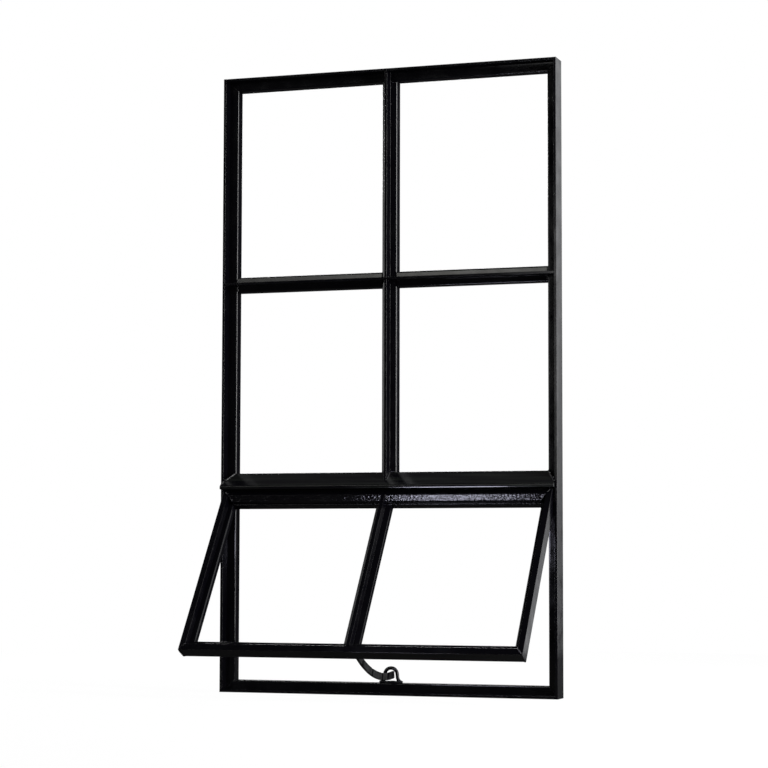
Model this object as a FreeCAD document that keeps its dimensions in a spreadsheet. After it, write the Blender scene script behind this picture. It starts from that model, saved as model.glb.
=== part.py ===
import FreeCAD, Part
import os
import Sketcher

doc = FreeCAD.newDocument("SteelWindow")

# Sizes in millimetres. X runs across the window, Y from the outside to the room, Z up.
# The origin is the middle of the flat underside of the sill.
sizes = doc.addObject("Spreadsheet::Sheet", "Sizes")
values = [
    ("window_width", 533.0),
    ("window_height", 949.0),
    ("section_depth", 35.0),
    ("section_face", 18.0),
    ("fin_thickness", 4.0),
    ("fin_projection", 17.5),
    ("glazing_bar_face", 23.0),
    ("arris_radius", 1.2),
    ("glazing_bar_height", 627.0),
    ("transom_underside", 310.5),
    ("transom_face", 24.0),
    ("transom_downstand", 7.0),
    ("hood_projection", 11.0),
    ("hood_plate", 3.0),
    ("hood_lip", 4.0),
    ("sash_angle", 35.7),
    ("sash_face", 14.0),
    ("sash_depth", 23.0),
    ("sash_fin_thickness", 6.0),
    ("sash_fin_projection", 12.0),
    ("sash_bottom_face", 20.7),
    ("sash_bottom_fin", 8.9),
    ("sash_bar_face", 22.0),
    ("sash_side_gap", 5.0),
    ("weather_flange", 3.0),
    ("weather_flange_thickness", 6.0),
    ("sash_stop_gap", 5.5),
    ("sash_rise", 8.5),
    ("sash_sill_gap", 8.5),
    ("pivot_setback", 4.0),
    ("pivot_drop", 19.5),
    ("pin_radius", 3.0),
    ("pin_clearance", 0.05),
    ("pin_end_gap", 0.4),
    ("stay_offset", 3.0),
    ("stay_thickness", 4.0),
    ("stay_height", 9.0),
    ("stay_notch_width", 2.6),
    ("stay_notch_depth", 1.2),
    ("stay_notch_pitch", 10.0),
    ("stay_notch_count", 4),
    ("stay_tail", 2.2),
    ("eye_setback", 5.0),
    ("eye_depth", 5.0),
    ("eye_outer_radius", 11.3),
    ("eye_inner_radius", 6.8),
    ("eye_height", 25.0),
    ("eye_hole_middle", 11.0),
    ("eye_foot_width", 32.0),
    ("eye_foot_height", 3.0),
    ("lug_width", 18.0),
    ("lug_height", 18.0),
    ("lug_thickness", 4.0),
]
for row, (alias, value) in enumerate(values, start=1):
    sizes.set(f"A{row}", alias.replace("_", " "))
    sizes.set(f"B{row}", str(value))
    sizes.setAlias(f"B{row}", alias)
derived = [
    ("half_width", "=window_width / 2"),
    ("front_face", "=-section_depth / 2"),
    ("back_face", "=section_depth / 2"),
    ("stop_face", "=front_face + fin_projection"),
    ("daylight_half", "=half_width - section_face"),
    ("fin_inside", "=half_width - fin_thickness"),
    ("transom_top", "=transom_underside + transom_face"),
    ("hood_edge", "=front_face - hood_projection"),
    ("hood_slope", "=(transom_face - hood_lip) / (fin_projection + hood_projection)"),
    ("hood_thickness", "=hood_plate * sqrt(1 + hood_slope^2)"),
    ("cut_depth", "=2 * window_height"),
    ("sash_half", "=fin_inside - sash_side_gap"),
    ("pivot_face", "=front_face + pivot_setback"),
    ("pivot_height", "=transom_underside - pivot_drop"),
    ("sash_drop", "=pivot_height - fin_thickness - sash_sill_gap"),
    ("sash_back", "=fin_projection - pivot_setback - sash_stop_gap"),
    ("sash_front", "=sash_back - sash_depth"),
    ("sash_stop", "=sash_front + sash_fin_projection"),
    ("pin_reach", "=(sash_rise - pin_radius - 2 * pin_end_gap) * sash_face / section_face"),
    ("eye_reach", "=eye_setback - pivot_face"),
    ("eye_fall", "=pivot_height - section_face - eye_hole_middle"),
    ("stay_radius", "=sqrt(eye_reach^2 + eye_fall^2)"),
    ("stay_start", "=asin((sash_back + lug_thickness) / (stay_radius - stay_height / 2)) / 1 deg"),
    ("eye_bearing", "=sash_angle + asin(eye_reach / stay_radius) / 1 deg"),
]
for row, (alias, formula) in enumerate(derived, start=len(values) + 2):
    sizes.set(f"A{row}", alias.replace("_", " "))
    sizes.setAlias(f"B{row}", alias)
    sizes.set(f"B{row}", formula)
doc.recompute()


def size(alias):
    return float(sizes.get(alias))


def bound(expression):
    # turns a plain expression in alias names into one that reads the sheet
    names = sorted([alias for alias, _ in values + derived], key=len, reverse=True)
    out = ""
    at = 0
    while at < len(expression):
        for name in names:
            if expression.startswith(name, at):
                out += "Sizes." + name
                at += len(name)
                break
        else:
            out += expression[at]
            at += 1
    return out


def sketch_on(body, plane, name):
    sketch = body.newObject("Sketcher::SketchObject", name)
    support = [item for item in body.Origin.OriginFeatures if item.Role == plane][0]
    sketch.AttachmentSupport = (support, [""])
    sketch.MapMode = "FlatFace"
    return sketch


def outline(sketch, corners):
    # a closed outline whose corners are pairs of expressions
    spots = []
    for index in range(len(corners)):
        spots.append(FreeCAD.Vector(index * 3.0, (index * index) % 7, 0))
    first = sketch.GeometryCount
    count = len(corners)
    for index in range(count):
        sketch.addGeometry(Part.LineSegment(spots[index], spots[(index + 1) % count]), False)
    for index in range(count):
        joined = Sketcher.Constraint("Coincident", first + index, 2, first + (index + 1) % count, 1)
        sketch.addConstraint(joined)
    for index, corner in enumerate(corners):
        for kind, expression in zip(("DistanceX", "DistanceY"), corner):
            start = getattr(spots[index], "x" if kind == "DistanceX" else "y")
            place = sketch.addConstraint(Sketcher.Constraint(kind, -1, 1, first + index, 1, start))
            sketch.setExpression(f"Constraints[{place}]", bound(expression))


def circle(sketch, across, up, radius):
    ring = sketch.addGeometry(Part.Circle(FreeCAD.Vector(1, 1, 0), FreeCAD.Vector(0, 0, 1), 2.0), False)
    for kind, expression in (("DistanceX", across), ("DistanceY", up)):
        place = sketch.addConstraint(Sketcher.Constraint(kind, -1, 1, ring, 3, 1.0))
        sketch.setExpression(f"Constraints[{place}]", bound(expression))
    place = sketch.addConstraint(Sketcher.Constraint("Radius", ring, 2.0))
    sketch.setExpression(f"Constraints[{place}]", bound(radius))


def new_body(label):
    body = doc.addObject("PartDesign::Body", "Body_" + label)
    body.Label = label
    return body


def pad(body, sketch, length, middle=True, reverse=False):
    feature = body.newObject("PartDesign::Pad", "Pad")
    feature.Profile = sketch
    feature.setExpression("Length", bound(length))
    feature.Midplane = middle
    feature.Reversed = reverse
    sketch.Visibility = False
    return feature


def pocket(body, sketch, length, middle=True, reverse=False):
    feature = body.newObject("PartDesign::Pocket", "Pocket")
    feature.Profile = sketch
    feature.setExpression("Length", bound(length))
    feature.Midplane = middle
    feature.Reversed = reverse
    sketch.Visibility = False
    return feature


def soften(body, feature, chosen):
    # rounds the long rolled edges that the test picks out
    doc.recompute()
    names = []
    for index, edge in enumerate(feature.Shape.Edges, start=1):
        if len(edge.Vertexes) == 2 and chosen(edge):
            names.append(f"Edge{index}")
    fillet = body.newObject("PartDesign::Fillet", "Fillet")
    fillet.Base = (feature, names)
    fillet.setExpression("Radius", bound("arris_radius"))
    return fillet


AXES = {"X": FreeCAD.Vector(1, 0, 0), "Z": FreeCAD.Vector(0, 0, 1)}
SHORT_EDGE = 60.0
TOLERANCE = 0.1


def runs_along(edge, axis):
    start, end = (vertex.Point for vertex in edge.Vertexes)
    along = abs((end - start).dot(AXES[axis]))
    return edge.Length > SHORT_EDGE and abs(along - edge.Length) < TOLERANCE


def angle_corners(outer, inward, front, stop, back, fin, face):
    # an angle shaped rolled section: a thin fin at the outer edge, a stop bar behind it
    fin_side = f"({outer}) + {inward} * {fin}"
    face_side = f"({outer}) + {inward} * {face}"
    return [(outer, front), (fin_side, front), (fin_side, stop),
            (face_side, stop), (face_side, back), (outer, back)]


def flipped(corners):
    return [(second, first) for first, second in corners]


def mitre(body, ends):
    sketch = sketch_on(body, "XZ_Plane", "MitreSketch")
    for corners in ends:
        outline(sketch, corners)
    pocket(body, sketch, "cut_depth")


def all_rounded(middle):
    return False


def rail(label, outer, inward, half, low, planes, fin, faces, axis, sharp):
    # one bar of an angle section frame, running along X or Z and mitred to its neighbours;
    # the faces are its own width and those of the bars at its low and high ends
    front, stop, back = planes
    face, low_face, high_face = faces
    body = new_body(label)
    section = angle_corners(outer, inward, front, stop, back, fin, face)
    if axis == "X":
        sketch = sketch_on(body, "YZ_Plane", "SectionSketch")
        outline(sketch, flipped(section))
        bar = pad(body, sketch, f"2 * ({half})")
    else:
        sketch = sketch_on(body, "XY_Plane", "SectionSketch")
        outline(sketch, section)
        bar = pad(body, sketch, f"({half}) - ({low})", middle=False)
        if low != "0":
            sketch.setExpression("AttachmentOffset.Base.z", bound(low))
    soften(body, bar, lambda edge: runs_along(edge, axis) and not sharp(edge.CenterOfMass))
    inner = f"({outer}) + {inward} * {face}"
    if axis == "X":
        ends = []
        for side, width in ((-1, low_face), (1, high_face)):
            tip = f"{side} * ({half})"
            root = f"{side} * (({half}) - {width})"
            ends.append([(tip, outer), (root, inner), (tip, inner)])
    else:
        ends = []
        for tip, turn, width in ((low, 1, low_face), (half, -1, high_face)):
            root = f"({tip}) + {turn} * {width}"
            ends.append([(outer, tip), (inner, root), (inner, tip)])
    mitre(body, ends)
    return body


def weather_strip(body, corners, plane, low, length, axis, chosen):
    # the flange round the outside of a sash bar, flush with its front
    sketch = sketch_on(body, plane, "FlangeSketch")
    outline(sketch, corners)
    if axis == "Z":
        sketch.setExpression("AttachmentOffset.Base.z", bound(low))
    strip = pad(body, sketch, length, middle=axis == "X")
    soften(body, strip, lambda edge: runs_along(edge, axis) and chosen(edge.CenterOfMass))


def frame_rail(label, outer, inward, half, low, axis):
    planes = ("front_face", "stop_face", "back_face")
    faces = ("section_face", "section_face", "section_face")
    return rail(label, outer, inward, half, low, planes, "fin_thickness", faces, axis, all_rounded)


def sash_rail(label, outer, inward, half, low, fin, faces, axis, sharp):
    planes = ("sash_front", "sash_stop", "sash_back")
    return rail(label, outer, inward, half, low, planes, fin, faces, axis, sharp)


# Outer frame: four mitred and welded bars.
fixed = []
fixed.append(frame_rail("head_rail", "window_height", -1, "half_width", None, "X"))
fixed.append(frame_rail("sill_rail", "0", 1, "half_width", None, "X"))
fixed.append(frame_rail("left_jamb", "-half_width", 1, "window_height", "0", "Z"))
fixed.append(frame_rail("right_jamb", "half_width", -1, "window_height", "0", "Z"))

# Transom bar and the sloped rain hood over the sash.
transom = new_body("transom_bar")
sketch = sketch_on(transom, "YZ_Plane", "SectionSketch")
transom_foot = "transom_underside - transom_downstand"
outline(sketch, [("stop_face", transom_foot), ("back_face", transom_foot),
                 ("back_face", "transom_top"), ("stop_face", "transom_top")])
bar = pad(transom, sketch, "2 * daylight_half")
soften(transom, bar, lambda edge: runs_along(edge, "X") and edge.CenterOfMass.y > 0)
fixed.append(transom)

hood = new_body("rain_hood")
sketch = sketch_on(hood, "YZ_Plane", "SectionSketch")
outline(sketch, [("stop_face", "transom_top"), ("hood_edge", "transom_underside + hood_lip"),
                 ("hood_edge", "transom_underside"), ("hood_edge + hood_plate", "transom_underside"),
                 ("hood_edge + hood_plate", "transom_underside + hood_lip - hood_plate / 2"),
                 ("stop_face", "transom_top - hood_thickness")])
bar = pad(hood, sketch, "window_width")
soften(hood, bar, lambda edge: runs_along(edge, "X") and edge.CenterOfMass.y < size("hood_edge") + 1)
sketch = sketch_on(hood, "XY_Plane", "EndSketch")
for side in (-1, 1):
    outline(sketch, [(f"{side} * half_width", "hood_edge"), (f"{side} * daylight_half", "stop_face"),
                     (f"{side} * (half_width + section_face)", "stop_face"),
                     (f"{side} * (half_width + section_face)", "hood_edge")])
pocket(hood, sketch, "cut_depth")
fixed.append(hood)

# Upright glazing bar: a tee with its fin outside, notched over the hood and up to the head.
mullion = new_body("upright_glazing_bar")
sketch = sketch_on(mullion, "XY_Plane", "FlangeSketch")
half_bar = "glazing_bar_face / 2"
outline(sketch, [(f"-{half_bar}", "stop_face"), (half_bar, "stop_face"),
                 (half_bar, "back_face"), (f"-{half_bar}", "back_face")])
sketch.setExpression("AttachmentOffset.Base.z", bound("transom_top"))
bar = pad(mullion, sketch, "window_height - section_face - transom_top", middle=False)
sketch = sketch_on(mullion, "YZ_Plane", "FinSketch")
fin_top = "window_height - fin_thickness"
outline(sketch, [("front_face", "transom_top - fin_projection * hood_slope"),
                 ("stop_face", "transom_top"), ("stop_face", fin_top), ("front_face", fin_top)])
fin = pad(mullion, sketch, "fin_thickness")
soften(mullion, fin, lambda edge: runs_along(edge, "Z"))
fixed.append(mullion)

# Level glazing bars, one each side of the upright.
for label, side in (("left_glazing_bar", -1), ("right_glazing_bar", 1)):
    level = new_body(label)
    sketch = sketch_on(level, "XZ_Plane", "FlangeSketch")
    low = "glazing_bar_height - glazing_bar_face / 2"
    high = "glazing_bar_height + glazing_bar_face / 2"
    outline(sketch, [(f"{side} * glazing_bar_face / 2", low), (f"{side} * daylight_half", low),
                     (f"{side} * daylight_half", high), (f"{side} * glazing_bar_face / 2", high)])
    sketch.setExpression("AttachmentOffset.Base.z", bound("-back_face"))
    bar = pad(level, sketch, "section_depth - fin_projection", middle=False)
    sketch = sketch_on(level, "XZ_Plane", "FinSketch")
    low = "glazing_bar_height - fin_thickness / 2"
    high = "glazing_bar_height + fin_thickness / 2"
    outline(sketch, [(f"{side} * fin_thickness / 2", low), (f"{side} * fin_inside", low),
                     (f"{side} * fin_inside", high), (f"{side} * fin_thickness / 2", high)])
    sketch.setExpression("AttachmentOffset.Base.z", bound("-stop_face"))
    fin = pad(level, sketch, "fin_projection", middle=False)
    soften(level, fin, lambda edge: runs_along(edge, "X"))
    fixed.append(level)

# Pivot pins welded to the inner sides of the jamb fins.
for label, side in (("left_pivot_pin", -1), ("right_pivot_pin", 1)):
    pin = new_body(label)
    sketch = sketch_on(pin, "YZ_Plane", "PinSketch")
    circle(sketch, "pivot_face", "pivot_height", "pin_radius")
    length = "sash_side_gap + pin_reach"
    sketch.setExpression("AttachmentOffset.Base.z", bound(f"{side} * fin_inside"))
    pad(pin, sketch, length, middle=False, reverse=side > 0)
    fixed.append(pin)

# Stay eye: a bent bar arch standing on the sill, with a spread foot.
eye = new_body("stay_ring")
sketch = sketch_on(eye, "XZ_Plane", "EyeSketch")
arch = "section_face + eye_height - eye_outer_radius"
eye_left = "stay_offset - eye_outer_radius"
eye_right = "stay_offset + eye_outer_radius"
outline(sketch, [(eye_left, "section_face"), (eye_right, "section_face"),
                 (eye_right, arch), (eye_left, arch)])
sketch.setExpression("AttachmentOffset.Base.z", bound("-eye_setback"))
pad(eye, sketch, "eye_depth")
sketch = sketch_on(eye, "XZ_Plane", "CrownSketch")
circle(sketch, "stay_offset", arch, "eye_outer_radius")
sketch.setExpression("AttachmentOffset.Base.z", bound("-eye_setback"))
pad(eye, sketch, "eye_depth")
sketch = sketch_on(eye, "XZ_Plane", "FootSketch")
foot_top = "section_face + 2 * eye_foot_height"
outline(sketch, [("stay_offset - eye_foot_width / 2", "section_face"),
                 ("stay_offset + eye_foot_width / 2", "section_face"),
                 (eye_right, foot_top), (eye_left, foot_top)])
sketch.setExpression("AttachmentOffset.Base.z", bound("-eye_setback"))
pad(eye, sketch, "eye_depth")
sketch = sketch_on(eye, "XZ_Plane", "HoleSketch")
outline(sketch, [("stay_offset - eye_inner_radius", "section_face + eye_foot_height"),
                 ("stay_offset + eye_inner_radius", "section_face + eye_foot_height"),
                 ("stay_offset + eye_inner_radius", arch), ("stay_offset - eye_inner_radius", arch)])
pocket(eye, sketch, "cut_depth")
sketch = sketch_on(eye, "XZ_Plane", "CrownHoleSketch")
circle(sketch, "stay_offset", arch, "eye_inner_radius")
pocket(eye, sketch, "cut_depth")
fixed.append(eye)

# Sash, drawn shut about its pivot line and then turned to the open angle.
moving = []
top = "sash_rise"
foot = "-sash_drop"
top_faces = ("section_face", "sash_face", "sash_face")
foot_faces = ("sash_bottom_face", "sash_face", "sash_face")
stile_faces = ("sash_face", "sash_bottom_face", "section_face")
moving.append(sash_rail("sash_top_rail", top, -1, "sash_half", None, "sash_fin_thickness", top_faces, "X",
                        all_rounded))
front_line = size("sash_front") + TOLERANCE
foot_line = TOLERANCE - size("sash_drop")
side_line = size("sash_half") - TOLERANCE
flange_back = "sash_front + weather_flange_thickness"
flange_foot = "-sash_drop - weather_flange"
bottom = sash_rail("sash_bottom_rail", foot, 1, "sash_half", None, "sash_bottom_fin", foot_faces, "X",
                   lambda middle: middle.y < front_line and middle.z < foot_line)
weather_strip(bottom, [("sash_front", foot), (flange_back, foot),
                       (flange_back, flange_foot), ("sash_front", flange_foot)],
              "YZ_Plane", None, "2 * sash_half", "X", lambda middle: middle.z < foot_line - 1)
moving.append(bottom)
for label, side in (("sash_left_stile", -1), ("sash_right_stile", 1)):
    stile = sash_rail(label, f"{side} * sash_half", -side, top, foot, "sash_fin_thickness", stile_faces, "Z",
                      lambda middle: middle.y < front_line and abs(middle.x) > side_line)
    edge_line = f"{side} * (sash_half + weather_flange)"
    weather_strip(stile, [(f"{side} * sash_half", "sash_front"), (edge_line, "sash_front"),
                          (edge_line, flange_back), (f"{side} * sash_half", flange_back)],
                  "XY_Plane", flange_foot, f"sash_rise - ({flange_foot})", "Z",
                  lambda middle: abs(middle.x) > side_line + 1)
    sketch = sketch_on(stile, "YZ_Plane", "BoreSketch")
    circle(sketch, "0", "0", "pin_radius + pin_clearance")
    sketch.setExpression("AttachmentOffset.Base.z", bound(f"{side} * sash_half"))
    pocket(stile, sketch, "pin_reach + pin_end_gap", middle=False, reverse=side < 0)
    moving.append(stile)

bar_body = new_body("sash_glazing_bar")
sketch = sketch_on(bar_body, "XY_Plane", "FlangeSketch")
half_bar = "sash_bar_face / 2"
outline(sketch, [(f"-{half_bar}", "sash_stop"), (half_bar, "sash_stop"),
                 (half_bar, "sash_back"), (f"-{half_bar}", "sash_back")])
sketch.setExpression("AttachmentOffset.Base.z", bound("sash_bottom_face - sash_drop"))
bar = pad(bar_body, sketch, "sash_rise + sash_drop - sash_bottom_face - section_face", middle=False)
sketch = sketch_on(bar_body, "YZ_Plane", "FinSketch")
fin_foot = "sash_bottom_fin - sash_drop"
fin_top = "sash_rise - sash_fin_thickness"
outline(sketch, [("sash_front", fin_foot), ("sash_stop", fin_foot),
                 ("sash_stop", fin_top), ("sash_front", fin_top)])
fin = pad(bar_body, sketch, "sash_fin_thickness")
soften(bar_body, fin, lambda edge: runs_along(edge, "Z"))
moving.append(bar_body)

lug = new_body("stay_lug")
sketch = sketch_on(lug, "XZ_Plane", "LugSketch")
lug_left = "stay_offset - lug_width / 2"
lug_right = "stay_offset + lug_width / 2"
low = "-stay_radius - lug_height / 2"
high = "lug_height / 2 - stay_radius"
outline(sketch, [(lug_left, low), (lug_right, low), (lug_right, high), (lug_left, high)])
sketch.setExpression("AttachmentOffset.Base.z", bound("-sash_back"))
pad(lug, sketch, "lug_thickness", middle=False, reverse=True)
moving.append(lug)

# Stay arm: a flat bar rolled to an arc about the pivot line, notched on its lower edge.
arm = new_body("stay_arm")
sketch = sketch_on(arm, "XZ_Plane", "ArmSketch")
arm_left = "stay_offset - stay_thickness / 2"
arm_right = "stay_offset + stay_thickness / 2"
low = "-stay_radius - stay_height / 2"
high = "stay_height / 2 - stay_radius"
outline(sketch, [(arm_left, low), (arm_right, low), (arm_right, high), (arm_left, high)])
turn = FreeCAD.Rotation(FreeCAD.Vector(1, 0, 0), size("stay_start"))
sketch.AttachmentOffset = FreeCAD.Placement(FreeCAD.Vector(), turn)
sketch.setExpression("AttachmentOffset.Rotation.Angle", bound("stay_start") + " * 1 deg")
pivot_line = [item for item in arm.Origin.OriginFeatures if item.Role == "X_Axis"][0]
sweep = arm.newObject("PartDesign::Revolution", "Sweep")
sweep.Profile = sketch
sweep.ReferenceAxis = (pivot_line, [""])
sweep.setExpression("Angle", bound("(eye_bearing + stay_tail - stay_start) * 1 deg"))
sketch.Visibility = False
sketch = sketch_on(arm, "YZ_Plane", "NotchSketch")
outline(sketch, [("-stay_notch_width / 2", "-stay_radius - stay_height"),
                 ("stay_notch_width / 2", "-stay_radius - stay_height"),
                 ("stay_notch_width / 2", "stay_height - stay_radius"),
                 ("-stay_notch_width / 2", "stay_height - stay_radius")])
turn = FreeCAD.Rotation(FreeCAD.Vector(0, 0, 1), size("eye_bearing"))
sketch.AttachmentOffset = FreeCAD.Placement(FreeCAD.Vector(), turn)
sketch.setExpression("AttachmentOffset.Base.z", bound("stay_offset + stay_thickness / 2"))
first_notch = "(eye_bearing - (stay_notch_count - 1) * stay_notch_pitch) * 1 deg"
sketch.setExpression("AttachmentOffset.Rotation.Angle", bound(first_notch))
notch = pocket(arm, sketch, "stay_notch_depth", middle=False)
notches = arm.newObject("PartDesign::PolarPattern", "Notches")
notches.Originals = [notch]
notches.Axis = (pivot_line, [""])
notches.setExpression("Angle", bound("(stay_notch_count - 1) * stay_notch_pitch * 1 deg"))
notches.setExpression("Occurrences", bound("stay_notch_count"))
arm.Tip = notches
moving.append(arm)

pivot = FreeCAD.Vector(0, size("pivot_face"), size("pivot_height"))
turn = FreeCAD.Rotation(FreeCAD.Vector(-1, 0, 0), size("sash_angle"))
for body in moving:
    body.Placement = FreeCAD.Placement(pivot, turn)
    body.setExpression("Placement.Base.y", bound("pivot_face"))
    body.setExpression("Placement.Base.z", bound("pivot_height"))
    body.setExpression("Placement.Rotation.Angle", bound("sash_angle") + " * 1 deg")

doc.recompute()

os.makedirs("parts", exist_ok=True)
for body in fixed + moving:
    for item in [body] + body.Group:
        if "Invalid" in item.State or "Error" in item.State:
            raise RuntimeError(f"{body.Label}: {item.Name} did not build")
    shape = body.Shape
    if not shape.isValid() or len(shape.Solids) != 1:
        raise RuntimeError(f"{body.Label} is not one sound solid")
    shape.exportStep(f"parts/{body.Label}.step")
    box = shape.BoundBox
    print(body.Label, round(box.XLength, 1), round(box.YLength, 1), round(box.ZLength, 1))
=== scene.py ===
import math

import bmesh
import bpy
from mathutils import Matrix, Vector, noise as ripples


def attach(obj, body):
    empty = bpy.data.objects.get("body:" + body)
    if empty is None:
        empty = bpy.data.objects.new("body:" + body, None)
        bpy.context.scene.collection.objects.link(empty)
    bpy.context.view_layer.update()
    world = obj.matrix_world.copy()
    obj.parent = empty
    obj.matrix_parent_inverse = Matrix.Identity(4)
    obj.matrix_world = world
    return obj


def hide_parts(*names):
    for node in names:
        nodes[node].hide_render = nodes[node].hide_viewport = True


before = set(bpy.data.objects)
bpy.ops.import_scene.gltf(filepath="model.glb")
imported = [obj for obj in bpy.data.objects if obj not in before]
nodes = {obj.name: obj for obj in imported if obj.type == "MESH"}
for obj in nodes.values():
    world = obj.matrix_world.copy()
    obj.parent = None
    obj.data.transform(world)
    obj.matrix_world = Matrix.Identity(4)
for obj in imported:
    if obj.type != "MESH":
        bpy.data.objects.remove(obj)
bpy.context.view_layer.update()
print("frame loaded:", len(nodes), "nodes")


# paint and steel

paint = {
    "colour": (0.0022, 0.002, 0.0036, 1.0),
    "dustColour": (0.0065, 0.0065, 0.0075, 1.0),
    "dustSize": 14.0,
    "dustSpread": (0.5, 0.78, 0.0, 0.5),  # noise from and to, share from and to
    "gloss": (0.3, 0.75, 0.1, 0.22),  # noise from and to, roughness from and to
    "glossSize": 38.0,
    "specular": 0.5,
    "ripple": (45.0, 0.1, 0.0006),  # noise size, strength and depth in metres
    "peel": (210.0, 0.025, 0.00012),
    "coarsePeel": (330.0, 1.0, 0.0007),
    "streakColour": (0.015, 0.017, 0.0155, 1.0),
    "streakSize": 170.0,
    "streakStretch": (0.04, 1.0, 1.0),
    "streakSpread": (0.42, 0.68, 0.0, 1.0),
}

staySteel = {
    "colour": (0.0383, 0.0383, 0.0396, 1.0),
    "darkColour": (0.0099, 0.0095, 0.0095, 1.0),
    "stainSize": 60.0,
    "stainSpread": (0.42, 0.68, 0.0, 1.0),
    "rubbedColour": (0.0945, 0.0945, 0.0968, 1.0),
    "rubbedSize": 120.0,
    "rubbedStretch": (6.0, 0.6, 0.6),
    "rubbedSpread": (0.5, 0.75, 0.0, 0.7),
    "gloss": (0.32, 0.55),
    "grain": (260.0, 0.4, 0.0003),
    "metallic": 0.55,
    "specular": 0.5,
    # painted shade: the colour, low specular and width below darken the arm in its notches, standing in for
    # the shade that falls in the grooves
    "notchShadeColour": (0.003, 0.003, 0.0035, 1.0),
    "notchShadeSpecular": 0.05,
    "notchShadeHalf": 0.75,  # degrees, as the half width of the arm's notches
    "pivot": (-0.0135, 0.291),  # y and z of the line that the arm is curved about
    "notchAt": -5.96,  # one notch, in degrees from straight down at rest
    "notchEvery": 10.0,
}

pinSteel = {
    "colour": (0.16, 0.155, 0.15, 1.0),
    "darkColour": (0.03, 0.027, 0.025, 1.0),
    "stainSize": 150.0,
    "stainSpread": (0.45, 0.7, 0.0, 1.0),
    "gloss": (0.25, 0.45),
    "grain": (900.0, 0.3, 0.0001),
    "grainStretch": (0.2, 1.0, 1.0),
}


def newMaterial(name):
    material = bpy.data.materials.new(name)
    material.use_nodes = True
    tree = material.node_tree
    shader = tree.nodes["Principled BSDF"]
    coords = tree.nodes.new("ShaderNodeTexCoord")
    return material, tree, shader, coords.outputs["Object"]


def noise(tree, coords, scale, detail=2.0, rough=0.5, stretch=None):
    if stretch:
        mapping = tree.nodes.new("ShaderNodeMapping")
        mapping.inputs["Scale"].default_value = stretch
        tree.links.new(coords, mapping.inputs["Vector"])
        coords = mapping.outputs["Vector"]
    texture = tree.nodes.new("ShaderNodeTexNoise")
    texture.inputs["Scale"].default_value = scale
    texture.inputs["Detail"].default_value = detail
    texture.inputs["Roughness"].default_value = rough
    tree.links.new(coords, texture.inputs["Vector"])
    return texture.outputs["Fac"]


def spread(tree, value, low, high, outLow, outHigh):
    ranged = tree.nodes.new("ShaderNodeMapRange")
    ranged.inputs["From Min"].default_value = low
    ranged.inputs["From Max"].default_value = high
    ranged.inputs["To Min"].default_value = outLow
    ranged.inputs["To Max"].default_value = outHigh
    tree.links.new(value, ranged.inputs["Value"])
    return ranged.outputs["Result"]


def mixColours(tree, factor, first, second):
    mix = tree.nodes.new("ShaderNodeMix")
    mix.data_type = "RGBA"
    tree.links.new(factor, mix.inputs["Factor"])
    for socket, colour in ((mix.inputs[6], first), (mix.inputs[7], second)):
        if isinstance(colour, tuple):
            socket.default_value = colour
        else:
            tree.links.new(colour, socket)
    return mix.outputs[2]


def bumps(tree, shader, layers):
    # stacks bump nodes, each a height, a strength and a depth in metres
    last = None
    for height, strength, depth in layers:
        bump = tree.nodes.new("ShaderNodeBump")
        bump.inputs["Strength"].default_value = strength
        bump.inputs["Distance"].default_value = depth
        tree.links.new(height, bump.inputs["Height"])
        if last:
            tree.links.new(last, bump.inputs["Normal"])
        last = bump.outputs["Normal"]
    tree.links.new(last, shader.inputs["Normal"])


def glossPaint(name, peel, streaked=False):
    material, tree, shader, coords = newMaterial(name)
    clouds = noise(tree, coords, paint["dustSize"], detail=4.0, rough=0.6)
    dust = spread(tree, clouds, *paint["dustSpread"])
    colour = mixColours(tree, dust, paint["colour"], paint["dustColour"])
    if streaked:
        # brush marks and settled dust along the slope
        stretch = paint["streakStretch"]
        grain = noise(tree, coords, paint["streakSize"], detail=3.0, rough=0.6, stretch=stretch)
        streaks = spread(tree, grain, *paint["streakSpread"])
        colour = mixColours(tree, streaks, colour, paint["streakColour"])
    tree.links.new(colour, shader.inputs["Base Color"])
    patches = noise(tree, coords, paint["glossSize"], detail=3.0)
    tree.links.new(spread(tree, patches, *paint["gloss"]), shader.inputs["Roughness"])
    shader.inputs["Specular IOR Level"].default_value = paint["specular"]
    layers = []
    for size, strength, depth in (paint["ripple"], peel):
        layers.append((noise(tree, coords, size, detail=1.0), strength, depth))
    bumps(tree, shader, layers)
    return material


def reckon(tree, operation, *values):
    # a math node on numbers or on the outputs of other nodes
    step = tree.nodes.new("ShaderNodeMath")
    step.operation = operation
    for socket, value in zip(step.inputs, values):
        if isinstance(value, float):
            socket.default_value = value
        else:
            tree.links.new(value, socket)
    return step.outputs["Value"]


def paintedNotchShade(tree, coords):
    # 1 in the notches, which lie at equal angles about the pivot; this is where shade is painted into the
    # arm
    split = tree.nodes.new("ShaderNodeSeparateXYZ")
    tree.links.new(coords, split.inputs["Vector"])
    backward = reckon(tree, "SUBTRACT", split.outputs["Y"], staySteel["pivot"][0])
    down = reckon(tree, "SUBTRACT", staySteel["pivot"][1], split.outputs["Z"])
    angle = reckon(tree, "DEGREES", reckon(tree, "ARCTAN2", backward, down))
    every = staySteel["notchEvery"]
    shifted = reckon(tree, "ADD", angle, every / 2 - staySteel["notchAt"])
    along = reckon(tree, "FLOORED_MODULO", shifted, every)
    return reckon(tree, "COMPARE", along, every / 2, staySteel["notchShadeHalf"])


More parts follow.
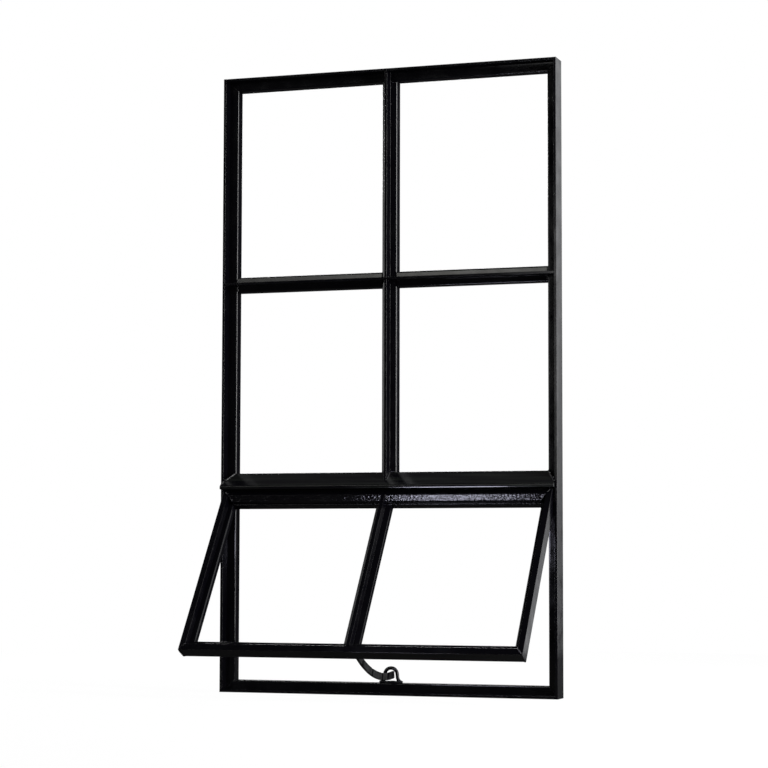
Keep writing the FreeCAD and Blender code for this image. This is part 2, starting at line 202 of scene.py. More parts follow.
def wornSteelWithNotchShade():
    material, tree, shader, coords = newMaterial("staySteel")
    clouds = noise(tree, coords, staySteel["stainSize"], detail=4.0, rough=0.65)
    stain = spread(tree, clouds, *staySteel["stainSpread"])
    stretch = staySteel["rubbedStretch"]
    scuffs = noise(tree, coords, staySteel["rubbedSize"], detail=3.0, rough=0.6, stretch=stretch)
    rubbed = spread(tree, scuffs, *staySteel["rubbedSpread"])
    colour = mixColours(tree, stain, staySteel["colour"], staySteel["darkColour"])
    colour = mixColours(tree, rubbed, colour, staySteel["rubbedColour"])
    # painted shade: the notches are darkened and lose their metallic and specular, standing in for the
    # shade inside them
    notchShadeMask = paintedNotchShade(tree, coords)
    colour = mixColours(tree, notchShadeMask, colour, staySteel["notchShadeColour"])
    tree.links.new(colour, shader.inputs["Base Color"])
    metallic = spread(tree, notchShadeMask, 0.0, 1.0, staySteel["metallic"], 0.0)
    specular = spread(tree, notchShadeMask, 0.0, 1.0, staySteel["specular"], staySteel["notchShadeSpecular"])
    tree.links.new(metallic, shader.inputs["Metallic"])
    tree.links.new(specular, shader.inputs["Specular IOR Level"])
    tree.links.new(spread(tree, stain, 0.0, 1.0, *staySteel["gloss"]), shader.inputs["Roughness"])
    size, strength, depth = staySteel["grain"]
    bumps(tree, shader, [(noise(tree, coords, size, detail=3.0), strength, depth)])
    return material


def turnedSteel():
    material, tree, shader, coords = newMaterial("pinSteel")
    clouds = noise(tree, coords, pinSteel["stainSize"], detail=3.0)
    stain = spread(tree, clouds, *pinSteel["stainSpread"])
    colour = mixColours(tree, stain, pinSteel["colour"], pinSteel["darkColour"])
    tree.links.new(colour, shader.inputs["Base Color"])
    tree.links.new(spread(tree, stain, 0.0, 1.0, *pinSteel["gloss"]), shader.inputs["Roughness"])
    shader.inputs["Metallic"].default_value = 1.0
    size, strength, depth = pinSteel["grain"]
    lathe = noise(tree, coords, size, stretch=pinSteel["grainStretch"])
    bumps(tree, shader, [(lathe, strength, depth)])
    return material


paintMaterial = glossPaint("framePaint", paint["peel"])
coarseMaterial = glossPaint("coarsePaint", paint["coarsePeel"])
hoodMaterial = glossPaint("hoodPaint", paint["peel"], streaked=True)
stayMaterial = wornSteelWithNotchShade()
pinMaterial = turnedSteel()

for name, node in nodes.items():
    if name == "stay_arm":
        material = stayMaterial
    elif name.endswith("_pin"):
        material = pinMaterial
    else:
        material = paintMaterial
    node.data.materials.clear()
    node.data.materials.append(material)
print("materials set")


# rolled steel bars

rolled = {
    "finArris": 0.0004,
    "stopArris": 0.0022,
    "backArris": 0.0012,
    "arrisSteps": 5,
    "taper": 0.0017,  # how far the flat of a tee falls back towards its edges
    "stopTaper": 0.0004,
    "teeRoot": 1.05,  # spare width of a tee's root, in fillets
    "teeBuried": 0.6,  # how deep the fin of a tee runs into its flat, as a share
    "hold": 0.00035,  # distance of the points that keep a face flat beside an arris
    "step": 0.011,  # distance between the cuts across a bar
    "waviness": 0.00014,
    "waveSize": 9.0,
    "sharpAngle": 38.0,
}

outerFrame = {
    "width": 0.533,
    "height": 0.949,
    "face": 0.018,
    "fin": 0.004,
    "front": -0.0175,
    "stop": 0.0,
    "back": 0.0175,
}

sash = {
    "half": 0.2575,
    "rise": 0.0085,
    "drop": 0.2785,
    "face": 0.014,
    "topFace": 0.018,
    "bottomFace": 0.0207,
    "fin": 0.006,
    "topFin": 0.0088,
    "bottomFin": 0.0089,
    "topArris": 0.0012,
    "bottomArris": 0.0018,
    "flange": 0.003,
    "flangeThickness": 0.006,
    "front": -0.015,
    "stop": -0.003,
    "back": 0.008,
    "barFace": 0.0242,
    "barArris": 0.0008,
    "fillet": 0.0002,
    "coveTop": -0.0142,
    "coveFoot": -0.0078,
    "coveDrop": 0.0158,
    "coveArris": 0.0009,
    "rebateArris": 0.001,
    "pivot": (0.0, -0.0135, 0.291),
    "angle": 35.7,
}

glazingBars = {
    "face": 0.024,
    "height": 0.627,
    "fillet": 0.0002,
}

transom = {
    "top": 0.3345,
    "foot": 0.3035,
    "hoodFoot": 0.3093,
    "hoodEdge": -0.0285,
    "lip": 0.0052,
    "lipTurn": 0.0016,  # height of the lip's lower edge, which is turned under
    "lipLean": 0.00025,
    "plate": 0.003,
    "bluntTip": 0.0025,
    "crestArris": 0.0008,
    "lipArris": 0.0016,
    "turnArris": 0.0004,
    "footArris": 0.0008,
    "innerArris": 0.001,
}

sashTurn = Matrix.Translation(sash["pivot"]) @ Matrix.Rotation(math.radians(-sash["angle"]), 4, "X")
across, deep, upward = Vector((1, 0, 0)), Vector((0, 1, 0)), Vector((0, 0, 1))
tiny = 1e-6  # points closer than this are one
parallel = 0.999  # cosine above which an edge runs along a bar


def edgesAlong(shape, way):
    found = []
    for edge in shape.edges:
        line = edge.verts[1].co - edge.verts[0].co
        if line.length > tiny and abs(line.normalized().dot(way)) > parallel:
            found.append(edge)
    return found


def heldOutline(spots, radii):
    # points beside each corner, which keep the faces between the arrises flat
    outline = []
    for index, spot in enumerate(spots):
        after = (index + 1) % len(spots)
        side = spots[after] - spot
        start, end = radii[index] + rolled["hold"], side.length - radii[after] - rolled["hold"]
        outline.append(spot)
        if end - start > rolled["hold"]:
            outline += [spot + side.normalized() * start, spot + side.normalized() * end]
    return outline


def rollBar(shape, section, origin, way, inward, length):
    # section: points across the bar with the radius that each corner is rolled to
    spots = [origin + inward * side + deep * depth for side, depth, radius in section]
    outline = heldOutline(spots, [radius for side, depth, radius in section])
    corners = [shape.verts.new(spot) for spot in outline]
    end = shape.faces.new(corners)
    grown = bmesh.ops.extrude_face_region(shape, geom=[end])
    moved = [item for item in grown["geom"] if isinstance(item, bmesh.types.BMVert)]
    bmesh.ops.translate(shape, vec=way * length, verts=moved)
    faces = list({face for vert in corners + moved for face in vert.link_faces})
    bmesh.ops.recalc_face_normals(shape, faces=faces)
    for radius in sorted({radius for side, depth, radius in section if radius}):
        wanted = [spot for spot, point in zip(spots, section) if point[2] == radius]
        edges = []
        for edge in edgesAlong(shape, way):
            if any((vert.co - spot).length < tiny for vert in edge.verts for spot in wanted):
                edges.append(edge)
        bmesh.ops.bevel(shape, geom=edges, offset=radius, offset_type="OFFSET", profile=0.5, affect="EDGES",
                        segments=rolled["arrisSteps"], clamp_overlap=True, material=-1)


def cutLengths(shape, way, length):
    # only the edges that run along most of the bar
    cuts = max(1, int(length / rolled["step"]))
    longEdges = [edge for edge in edgesAlong(shape, way) if edge.calc_length() > length * 0.5]
    bmesh.ops.subdivide_edges(shape, edges=longEdges, cuts=cuts, use_grid_fill=True)


def sawOff(shape, place, normal):
    # cuts away what lies on the normal's side and closes the cut
    geometry = shape.verts[:] + shape.edges[:] + shape.faces[:]
    cut = bmesh.ops.bisect_plane(shape, geom=geometry, plane_co=place, plane_no=normal, clear_outer=True)
    rim = [item for item in cut["geom_cut"] if isinstance(item, bmesh.types.BMEdge)]
    bmesh.ops.edgeloop_fill(shape, edges=rim)


def mitreEnds(shape, origin, way, inward, length, face, ends):
    # ends: the widths of the neighbours at the near and far end, or None for a square end
    for width, at, sign in ((ends[0], 0.0, -1), (ends[1], length, 1)):
        if width:
            slant = inward * face - way * (sign * width)
            normal = slant.cross(deep).normalized()
            if normal.dot(way) * sign < 0:
                normal.negate()
            sawOff(shape, origin + way * at, normal)


def wobble(shape, seed):
    # the slight unevenness of rolled and painted steel, only ever inwards
    bmesh.ops.recalc_face_normals(shape, faces=shape.faces)
    shape.normal_update()
    for vert in shape.verts:
        lift = min(1.0, ripples.noise(vert.co * rolled["waveSize"] + across * seed))
        vert.co += vert.normal * (rolled["waviness"] * (lift - 1.0) / 2)


def finishPiece(name, shape, body, replaced, material, sharpAngle=rolled["sharpAngle"]):
    bmesh.ops.remove_doubles(shape, verts=shape.verts, dist=tiny)
    bmesh.ops.recalc_face_normals(shape, faces=shape.faces)
    mesh = bpy.data.meshes.new(name)
    shape.to_mesh(mesh)
    shape.free()
    mesh.shade_smooth()
    mesh.set_sharp_from_angle(angle=math.radians(sharpAngle))
    mesh.materials.append(material)
    piece = bpy.data.objects.new(name, mesh)
    bpy.context.scene.collection.objects.link(piece)
    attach(piece, body)
    if replaced:
        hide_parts(*replaced)


def angleSection(size, flange=0.0, innerArris=None, stepped=True):
    # a fin at the outer edge and a stop behind it, whose front falls back a little towards its arris;
    # a stepped section has its flange only at the front, another one runs flush to the back
    fin, face = size["fin"], size["face"]
    front, stop, back = size["front"], size["stop"], size["back"]
    finArris, backArris = rolled["finArris"], rolled["backArris"]
    section = [(-flange, front, finArris), (fin, front, innerArris or finArris), (fin, stop, 0.0),
               (face, stop + rolled["stopTaper"], rolled["stopArris"]), (face, back, backArris),
               (0.0 if stepped else -flange, back, backArris)]
    if flange and stepped:
        behind = front + size["flangeThickness"]
        section += [(0.0, behind, 0.0), (-flange, behind, finArris)]
    return section


def frameBar(name, node, origin, way, inward, length):
    shape = bmesh.new()
    origin, way, inward = Vector(origin), Vector(way), Vector(inward)
    face = outerFrame["face"]
    rollBar(shape, angleSection(outerFrame), origin, way, inward, length)
    cutLengths(shape, way, length)
    mitreEnds(shape, origin, way, inward, length, face, (face, face))
    wobble(shape, seed=len(name))
    half, height = outerFrame["width"] / 2, outerFrame["height"]
    for vert in shape.verts:
        # the sawn corners stay inside the frame
        vert.co.x = max(-half, min(half, vert.co.x))
        vert.co.z = max(0.0, min(height, vert.co.z))
    finishPiece(name, shape, "frame", [node], paintMaterial)


def coveSection():
    # the top rail: its fin, a sloped cove under it and the glass rebate below
    fin, face = sash["topFin"], sash["topFace"]
    front, stop, back = sash["front"], sash["stop"], sash["back"]
    finArris, backArris = rolled["finArris"], rolled["backArris"]
    return [(0.0, front, sash["topArris"]), (fin, front, finArris), (fin, sash["coveTop"], finArris),
            (sash["coveDrop"], sash["coveFoot"], sash["coveArris"]), (sash["coveDrop"], stop, 0.0),
            (face, stop, sash["rebateArris"]), (face, back, backArris), (0.0, back, backArris)]


def sashBar(name, node, origin, way, inward, length, section, face, ends, spare, material, trims=()):
    # spare: lengths beyond both ends for the flange, trims: more cuts, each a place and a normal
    shape = bmesh.new()
    origin, way, inward = Vector(origin), Vector(way), Vector(inward)
    start = origin - way * spare[0]
    rollBar(shape, section, start, way, inward, length + spare[0] + spare[1])
    cutLengths(shape, way, length)
    mitreEnds(shape, origin, way, inward, length, face, ends)
    for place, normal in trims:
        sawOff(shape, place, normal)
    wobble(shape, seed=len(name))
    bmesh.ops.transform(shape, matrix=sashTurn, verts=shape.verts)
    finishPiece(name, shape, "sash", [node], material)


def teeBar(shape, finSize, faceSize, planes, fillet, arris, origin, way, inward, lengths, starts):
    # a tee section as its fin with a wide root and its flat, which run to different lengths
    front, stop, back = planes
    half, root = finSize / 2, finSize / 2 + fillet * rolled["teeRoot"]
    buried = stop + (back - stop) * rolled["teeBuried"]
    finArris, backArris = rolled["finArris"], rolled["backArris"]
    fin = [(-half, front, finArris), (half, front, finArris), (half, stop, fillet), (root, stop, 0),
           (root, buried, 0), (-root, buried, 0), (-root, stop, 0), (-half, stop, fillet)]
    rollBar(shape, fin, origin + way * starts[0], way, inward, lengths[0])
    edge = faceSize / 2
    fall = stop + rolled["taper"]
    flat = [(-edge, fall, arris), (-half, stop, 0), (half, stop, 0), (edge, fall, arris),
            (edge, back, backArris), (-edge, back, backArris)]
    rollBar(shape, flat, origin + way * starts[1], way, inward, lengths[1])
    cutLengths(shape, way, min(lengths))


def makeOuterFrame():
    half, height = outerFrame["width"] / 2, outerFrame["height"]
    frameBar("headRail", "head_rail", (-half, 0, height), (1, 0, 0), (0, 0, -1), half * 2)
    frameBar("sillRail", "sill_rail", (-half, 0, 0), (1, 0, 0), (0, 0, 1), half * 2)
    frameBar("leftJamb", "left_jamb", (-half, 0, 0), (0, 0, 1), (1, 0, 0), height)
    frameBar("rightJamb", "right_jamb", (half, 0, 0), (0, 0, 1), (-1, 0, 0), height)


def hoodSlope():
    run = outerFrame["stop"] - transom["hoodEdge"]
    return (transom["top"] - transom["hoodFoot"] - transom["lip"]) / run


def makeGlazingBars():
    planes = (outerFrame["front"], outerFrame["stop"], outerFrame["back"])
    fin, face = outerFrame["fin"], glazingBars["face"]
    slope = hoodSlope()
    top = outerFrame["height"] - outerFrame["face"]
    finTop = outerFrame["height"] - fin
    foot = transom["top"] + outerFrame["front"] * slope
    fillet, arris = glazingBars["fillet"], rolled["stopArris"]
    shape = bmesh.new()
    teeBar(shape, fin, face, planes, fillet, arris, Vector((0, 0, 0)), upward, across,
           (finTop - foot, top - transom["top"]), (foot, transom["top"]))
    wobble(shape, seed=3)
    finishPiece("uprightGlazingBar", shape, "frame", ["upright_glazing_bar"], paintMaterial)
    reach = outerFrame["width"] / 2 - fin
    daylight = outerFrame["width"] / 2 - outerFrame["face"]
    middle = Vector((0, 0, glazingBars["height"]))
    for name, node, side in (("leftGlazingBar", "left_glazing_bar", -1),
                             ("rightGlazingBar", "right_glazing_bar", 1)):
        shape = bmesh.new()
        teeBar(shape, fin, face, planes, fillet, arris, middle, across * side, upward,
               (reach, daylight - face / 2), (0.0, face / 2))
        wobble(shape, seed=5 + side)
        finishPiece(name, shape, "frame", [node], paintMaterial)


def makeTransom():
    half = outerFrame["width"] / 2
    daylight = half - outerFrame["face"]
    stop, back = outerFrame["stop"], outerFrame["back"]
    top, foot = transom["top"], transom["foot"]
    shape = bmesh.new()
    arris = rolled["backArris"]
    section = [(foot, stop, arris), (foot, back, arris), (top, back, arris), (top, stop, arris)]
    rollBar(shape, section, Vector((-daylight, 0, 0)), across, upward, daylight * 2)
    cutLengths(shape, across, daylight * 2)
    wobble(shape, seed=9)
    finishPiece("transomBar", shape, "frame", ["transom_bar"], paintMaterial)
    edge, plate, lip = transom["hoodEdge"], transom["plate"], transom["lip"]
    hoodFoot = transom["hoodFoot"]
    slope = hoodSlope()
    thick = plate * math.sqrt(1 + slope * slope)
    section = [(top, stop, transom["crestArris"]), (hoodFoot + lip, edge, transom["lipArris"]),
               (hoodFoot + transom["lipTurn"], edge, 0),
               (hoodFoot, edge + transom["lipLean"], transom["turnArris"]),
               (hoodFoot, edge + plate, transom["footArris"]),
               (hoodFoot + lip - plate / 2, edge + plate, transom["innerArris"]), (top - thick, stop, 0)]
    shape = bmesh.new()
    rollBar(shape, section, Vector((-half, 0, 0)), across, upward, half * 2)
    cutLengths(shape, across, half * 2)
    # the ends are sawn slanting from the front corners back to the jambs, with blunt tips
    for side in (-1, 1):
        run = Vector((side * (daylight - half), stop - edge, 0))
        normal = run.cross(upward).normalized()
        if normal.x * side < 0:
            normal.negate()
        sawOff(shape, Vector((side * half, edge, 0)), normal)
        sawOff(shape, Vector((side * (half - transom["bluntTip"]), 0, 0)), across * side)
    wobble(shape, seed=11)
    finishPiece("rainHood", shape, "frame", ["rain_hood"], hoodMaterial)


def makeSash():
    half, rise, drop = sash["half"], sash["rise"], sash["drop"]
    face, topFace, bottomFace = sash["face"], sash["topFace"], sash["bottomFace"]
    fin, bottomFin, flange = sash["fin"], sash["bottomFin"], sash["flange"]
    bottom = dict(sash, fin=bottomFin, face=bottomFace)
    sashBar("sashTopRail", "sash_top_rail", (-half, 0, rise), (1, 0, 0), (0, 0, -1), half * 2,
            coveSection(), topFace, (face, face), (0.0, 0.0), coarseMaterial)
    sashBar("sashBottomRail", "sash_bottom_rail", (-half, 0, -drop), (1, 0, 0), (0, 0, 1), half * 2,
            angleSection(bottom, flange, sash["bottomArris"]), bottomFace, (face, face), (flange, flange),
            paintMaterial)
    # the stiles' feet are cut back behind the flange of the bottom rail
    behind = sash["front"] + sash["flangeThickness"]
    cut = (Vector((0, behind, -drop - flange)), Vector((0, flange, behind - sash["back"])).normalized())
    for name, node, side in (("sashLeftStile", "sash_left_stile", -1),
                             ("sashRightStile", "sash_right_stile", 1)):
        sashBar(name, node, (side * half, 0, -drop), (0, 0, 1), (-side, 0, 0), rise + drop,
                angleSection(sash, flange, stepped=False), face, (bottomFace, topFace), (flange, 0.0),
                paintMaterial, [cut])
    planes = (sash["front"], sash["stop"], sash["back"])
    shape = bmesh.new()
    teeBar(shape, fin, sash["barFace"], planes, sash["fillet"], sash["barArris"], Vector((0, 0, -drop)),
           upward, across, (rise + drop - fin - bottomFin, rise + drop - bottomFace - topFace),
           (bottomFin, bottomFace))
    wobble(shape, seed=17)
    bmesh.ops.transform(shape, matrix=sashTurn, verts=shape.verts)
    finishPiece("sashGlazingBar", shape, "sash", ["sash_glazing_bar"], paintMaterial)


makeOuterFrame()
makeTransom()
makeGlazingBars()
makeSash()
print("bars rolled")


# quadrant stay

stayRing = {
    "middle": (0.003, 0.005, 0.0305),
    "radius": 0.0098,
    "bar": 0.0027,
    "sides": 16,
    "archSteps": 16,
    "footHalf": 0.0175,
    "foot": 0.0186,
    "leg": ((1.0, 0.0), (0.86, 0.0007), (0.74, 0.0022), (0.64, 0.0045)),  # share of footHalf, rise
    "legTop": (1.04, 0.0075),  # share of the radius, rise
    "baseHalf": 0.014,
    "base": 0.0028,
    "baseSteps": 6,
    "baseThinning": 0.1,
}

stayArm = {
    # lengths in metres, angles in degrees from the sash's plane
    "near": 0.001,
    "far": 0.005,
    "radius": 0.26265,
    "height": 0.0108,
    "chamfer": 0.0005,
    "start": 2.66,
    "tip": 34.5,
    "end": 41.94,
    "notches": (9.74, 19.74, 29.74, 39.74),
    "notchHalf": 0.75,
    "notchFloor": 0.25,  # share of a notch's width that is flat
    "notchSpare": 0.1,
    "notchDepth": 0.0017,
    "steps": 80,
}


def skinRings(shape, rings):
    # closes a row of equal loops of points into one solid
    loops = [[shape.verts.new(point) for point in ring] for ring in rings]
    count = len(loops[0])
    for first, second in zip(loops, loops[1:]):
        for index in range(count):
            after = (index + 1) % count
            shape.faces.new((first[index], first[after], second[after], second[index]))
    shape.faces.new(loops[0])
    shape.faces.new(loops[-1])


def sweepRound(shape, points, radii, sides):
    # a round bar of changing thickness through the points
    points = [Vector(point) for point in points]
    rings = []
    aside = None
    for index, point in enumerate(points):
        ahead = points[min(index + 1, len(points) - 1)] - points[max(index - 1, 0)]
        ahead.normalize()
        if aside is None:
            aside = ahead.orthogonal().normalized()
        aside = (aside - ahead * aside.dot(ahead)).normalized()
        other = ahead.cross(aside)
        ring = []
        for step in range(sides):
            turn = 2 * math.pi * step / sides
            ring.append(point + (aside * math.cos(turn) + other * math.sin(turn)) * radii[index])
        rings.append(ring)
    skinRings(shape, rings)


def makeStayRing():
    x, y, z = stayRing["middle"]
    radius, half, foot = stayRing["radius"], stayRing["footHalf"], stayRing["foot"]
    # one leg from its turned-out foot up to the arch
    leg = [(half * share, foot + rise) for share, rise in stayRing["leg"]]
    share, rise = stayRing["legTop"]
    leg.append((radius * share, foot + rise))
    steps = stayRing["archSteps"]
    turns = [math.pi * step / steps for step in range(steps + 1)]
    arch = [(radius * math.cos(turn), z + radius * math.sin(turn)) for turn in turns]
    path = leg + arch + [(-side, height) for side, height in reversed(leg)]
    points = [(x + side, y, height) for side, height in path]
    shape = bmesh.new()
    sweepRound(shape, points, [stayRing["bar"]] * len(points), stayRing["sides"])
    # the weld that fills the foot of the ring
    base, steps = stayRing["baseHalf"], stayRing["baseSteps"]
    fill, radii = [], []
    for step in range(-steps, steps + 1):
        fill.append((x + base * step / steps, y, foot))
        radii.append(stayRing["base"] * (1 - stayRing["baseThinning"] * abs(step) / steps))
    sweepRound(shape, fill, radii, stayRing["sides"])
    finishPiece("stayRing", shape, "frame", ["stay_ring"], paintMaterial)


def makeStayArm(name, start, end, replaced, material):
    near, far, cut = stayArm["near"], stayArm["far"], stayArm["chamfer"]
    inner = stayArm["radius"] - stayArm["height"] / 2
    outer = stayArm["radius"] + stayArm["height"] / 2
    steps, half = stayArm["steps"], stayArm["notchHalf"]
    stops = []
    notches = [notch for notch in stayArm["notches"] if start < notch < end]
    for step in range(steps + 1):
        angle = start + (end - start) * step / steps
        if all(abs(angle - notch) > half + stayArm["notchSpare"] for notch in notches):
            stops.append((angle, far))
    for notch in notches:
        flat, floor = half * stayArm["notchFloor"], far - stayArm["notchDepth"]
        stops += [(notch - half, far), (notch - flat, floor), (notch + flat, floor), (notch + half, far)]
    rings = []
    for angle, side in sorted(stops):
        corners = [(near, inner + cut), (near + cut, inner), (side - cut, inner), (side, inner + cut),
                   (side, outer - cut), (side - cut, outer), (near + cut, outer), (near, outer - cut)]
        turn = math.radians(angle)
        rings.append([Vector((x, reach * math.sin(turn), -reach * math.cos(turn))) for x, reach in corners])
    shape = bmesh.new()
    skinRings(shape, rings)
    bmesh.ops.transform(shape, matrix=sashTurn, verts=shape.verts)
    finishPiece(name, shape, "sash", replaced, material)


# weld beads

welds = {
    "ripple": 0.0019,
    "rippleSteps": 4,
    "ripplePhase": 0.4,
    "roughness": 0.14,
    "unevenness": 0.22,
    "unevenSize": 240.0,
    "pinch": (0.45, 0.3),  # thickness at the end and its growth per step
    "sides": 10,
    "sharpAngle": 80.0,
    # radius and the points that the bead runs through
    "frame": [
        (0.0021, [(0.2492, 0.0002, 0.3345), (0.2545, -0.0085, 0.3292), (0.2602, -0.0172, 0.3228)]),
        (0.0013, [(0.2605, -0.0188, 0.3218), (0.2635, -0.0235, 0.3182)]),
        (0.0011, [(0.2615, 0.0003, 0.944), (0.2492, 0.0008, 0.9317)]),
        (0.0011, [(0.2615, 0.0003, 0.005), (0.2492, 0.0008, 0.0173)]),
        (0.0014, [(0.2482, 0.0022, 0.6168), (0.2486, 0.0006, 0.6225), (0.2488, 0.0002, 0.627),
                  (0.2486, 0.0006, 0.6318), (0.2482, 0.0022, 0.6372)]),
        (0.0012, [(0.0095, 0.0018, 0.9308), (0.0022, 0.0003, 0.9312)]),
        (0.0014, [(0.0098, 0.0016, 0.3352), (0.0024, 0.0003, 0.3352), (0.0026, -0.0085, 0.3286),
                  (0.0026, -0.0155, 0.3238)]),
        (0.0011, [(0.0027, -0.0145, 0.6297), (0.0028, -0.0012, 0.6298)]),
        (0.0011, [(0.0027, -0.0145, 0.6243), (0.0028, -0.0012, 0.6242)]),
    ],
    "sash": [
        (0.0012, [(0.2568, -0.0148, 0.0076), (0.2522, -0.0148, 0.0025)]),
        (0.0019, [(0.2505, -0.0138, 0.0012), (0.2478, -0.0105, -0.0025), (0.2452, -0.0082, -0.0058)]),
        (0.0011, [(0.2592, -0.0147, -0.2805), (0.2512, -0.0147, -0.2702)]),
        (0.0024, [(0.0004, -0.0138, 0.0008), (0.0042, -0.0108, -0.0018), (0.0066, -0.0082, -0.0056)]),
        (0.0011, [(0.0034, -0.0128, -0.2692), (0.0036, -0.0045, -0.2688)]),
    ],
}


def weldBead(shape, radius, corners):
    # an uneven string of overlapping ripples, pinched at both ends
    corners = [Vector(corner) for corner in corners]
    points, radii = [], []
    steps, (thin, growth) = welds["rippleSteps"], welds["pinch"]
    for first, second in zip(corners, corners[1:]):
        count = max(2, round((second - first).length / (welds["ripple"] / steps)))
        points += [first.lerp(second, step / count) for step in range(count)]
    points.append(corners[-1])
    for index, point in enumerate(points):
        swell = 1.0 - welds["roughness"] * abs(math.sin(math.pi * index / steps + welds["ripplePhase"]))
        swell += welds["unevenness"] * ripples.noise(point * welds["unevenSize"])
        end = min(index, len(points) - 1 - index)
        radii.append(radius * swell * min(1.0, thin + growth * end))
    sweepRound(shape, points, radii, welds["sides"])


def makeWelds():
    for name, body in (("frameWelds", "frame"), ("sashWelds", "sash")):
        shape = bmesh.new()
        for radius, corners in welds[body]:
            for side in (-1, 1):
                weldBead(shape, radius, [(side * x, y, z) for x, y, z in corners])
        if body == "sash":
            bmesh.ops.transform(shape, matrix=sashTurn, verts=shape.verts)
        finishPiece(name, shape, body, [], paintMaterial, welds["sharpAngle"])


makeStayRing()
makeStayArm("stayArm", stayArm["start"], stayArm["tip"], ["stay_arm"], stayMaterial)
makeStayArm("stayTip", stayArm["tip"], stayArm["end"], [], paintMaterial)
makeWelds()
print("stay and welds made")


# stage, light and camera

studio = {
    "floorSize": 3.4,
    "floorSides": 96,
    "floorColour": (0.08, 0.08, 0.08, 1.0),
    "floorWhite": 0.95,
    "ambient": 0.01,
    "ambientColour": (0.92, 0.88, 1.0, 1.0),
    "white": (1.0, 1.0, 1.0, 1.0),
    "glossShare": 0.008,  # how much of the white shows in reflections
    "glossOnly": ("lowFront",),  # lamps that are only mirrored
}

view = {
    "place": (1.11264, -3.31101, 0.20672),
    "right": (0.9476, 0.31945, 0.0022),
    "up": (0.02209, -0.07239, 0.99713),
    "back": (0.3187, -0.94483, -0.07565),
    "sensor": 36.0,
    "lens": 108.374,
    "shift": (-0.0028, -0.00335),
}

softboxes = {
    # name: place, aim, width, height, power, tint
    "overhead": ((1.3, 0.3, 2.3), (0.0, 0.0, 0.4), 1.5, 1.5, 12.0, (1.0, 1.0, 1.0)),
    "overBack": ((-0.85, 1.0, 2.6), (0.0, 0.0, 0.3), 1.6, 1.6, 0.4, (1.0, 1.0, 0.97)),
    "rightCard": ((0.835, 0.475, 0.925), (0.25, 0.03, 0.855), 1.18, 1.81, 5.7, (0.97, 0.98, 1.0)),
    "rightFront": ((2.3, -0.7, 0.9), (0.0, 0.0, 0.5), 0.7, 1.8, 60.0, (1.0, 1.0, 1.0)),
    "leftCard": ((-1.9, 0.1, 0.8), (0.0, 0.0, 0.5), 0.9, 1.6, 12.0, (1.0, 1.0, 1.0)),
    "leftFront": ((-2.08, -2.5, 0.975), (0.0, 0.0, 0.7), 0.6, 1.05, 5.6, (1.0, 1.0, 1.0)),
    "highFront": ((-0.9, -2.55, 2.05), (0.0, 0.0, 0.55), 1.3, 0.3, 4.2, (1.0, 1.0, 0.95)),
    "lowFront": ((0.018, -0.33, 0.227), (0.098, 0.0, 0.295), 0.165, 0.055, 0.51, (0.8, 0.8, 1.0)),
    "nearFront": ((-0.37, -2.5, 0.78), (0.257, 0.0, 0.5), 0.12, 0.66, 0.45, (1.0, 1.0, 1.0)),
    "overLeft": ((-1.7, -0.4, 1.95), (0.0, -0.1, 0.2), 0.6, 0.7, 1.5, (1.0, 1.0, 1.0)),
    "highBack": ((-0.95, 2.3, 1.45), (0.0, 0.0, 0.2), 1.0, 0.6, 16.0, (1.0, 1.0, 1.0)),
}


def seenRays(tree):
    # 1 for the camera, which sees the backdrop white, and a share of it for reflected and refracted rays
    rays = tree.nodes.new("ShaderNodeLightPath").outputs
    either = reckon(tree, "MAXIMUM", rays["Is Glossy Ray"], rays["Is Transmission Ray"])
    return reckon(tree, "MULTIPLY_ADD", either, studio["glossShare"], rays["Is Camera Ray"])


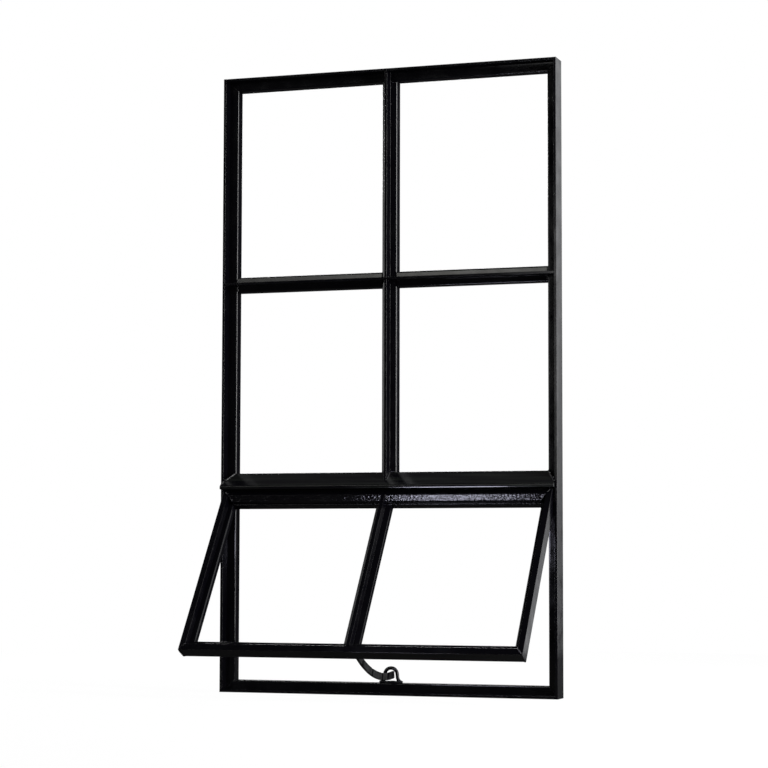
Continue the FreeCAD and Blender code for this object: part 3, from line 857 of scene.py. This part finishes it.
def floorMaterial():
    # grey paper that keeps its shadow, raised towards white where it is seen
    material = bpy.data.materials.new("floorPaper")
    material.use_nodes = True
    tree = material.node_tree
    tree.nodes.clear()
    out = tree.nodes.new("ShaderNodeOutputMaterial")
    paper = tree.nodes.new("ShaderNodeBsdfDiffuse")
    paper.inputs["Color"].default_value = studio["floorColour"]
    glow = tree.nodes.new("ShaderNodeEmission")
    strength = reckon(tree, "MULTIPLY", seenRays(tree), studio["floorWhite"])
    tree.links.new(strength, glow.inputs["Strength"])
    both = tree.nodes.new("ShaderNodeAddShader")
    tree.links.new(paper.outputs["BSDF"], both.inputs[0])
    tree.links.new(glow.outputs["Emission"], both.inputs[1])
    tree.links.new(both.outputs["Shader"], out.inputs["Surface"])
    return material


def stagePiece(name, shape, material):
    mesh = bpy.data.meshes.new(name)
    shape.to_mesh(mesh)
    shape.free()
    piece = bpy.data.objects.new(name, mesh)
    mesh.materials.append(material)
    bpy.context.scene.collection.objects.link(piece)


def makeFloor():
    shape = bmesh.new()
    radius, sides = studio["floorSize"] / 2, studio["floorSides"]
    bmesh.ops.create_circle(shape, cap_ends=True, radius=radius, segments=sides)
    stagePiece("floor", shape, floorMaterial())


def makeWorld():
    # white where the camera sees it, a dim studio for the light and for the gloss
    world = bpy.data.worlds.new("studio")
    bpy.context.scene.world = world
    world.use_nodes = True
    tree = world.node_tree
    background = tree.nodes["Background"]
    level = studio["ambient"]
    dim = tuple(channel * level for channel in studio["ambientColour"][:3]) + (1.0,)
    tree.links.new(mixColours(tree, seenRays(tree), dim, studio["white"]), background.inputs["Color"])


def makeSoftbox(name, place, aim, width, height, power, tint):
    lamp = bpy.data.lights.new(name, "AREA")
    lamp.shape = "RECTANGLE"
    lamp.size = width
    lamp.size_y = height
    lamp.energy = power
    lamp.color = tint
    box = bpy.data.objects.new(name, lamp)
    box.location = place
    box.rotation_euler = (Vector(aim) - Vector(place)).to_track_quat("-Z", "Y").to_euler()
    box.visible_camera = False
    box.visible_diffuse = name not in studio["glossOnly"]
    bpy.context.scene.collection.objects.link(box)


def makeCamera():
    lens = bpy.data.cameras.new("camera")
    lens.sensor_width = view["sensor"]
    lens.lens = view["lens"]
    lens.shift_x, lens.shift_y = view["shift"]
    camera = bpy.data.objects.new("camera", lens)
    turn = Matrix((view["right"], view["up"], view["back"])).transposed().to_4x4()
    camera.matrix_world = Matrix.Translation(view["place"]) @ turn
    bpy.context.scene.collection.objects.link(camera)
    bpy.context.scene.camera = camera


makeFloor()
makeWorld()
for name, settings in softboxes.items():
    makeSoftbox(name, *settings)
makeCamera()
bpy.context.scene.view_settings.view_transform = "Standard"
print("stage ready")
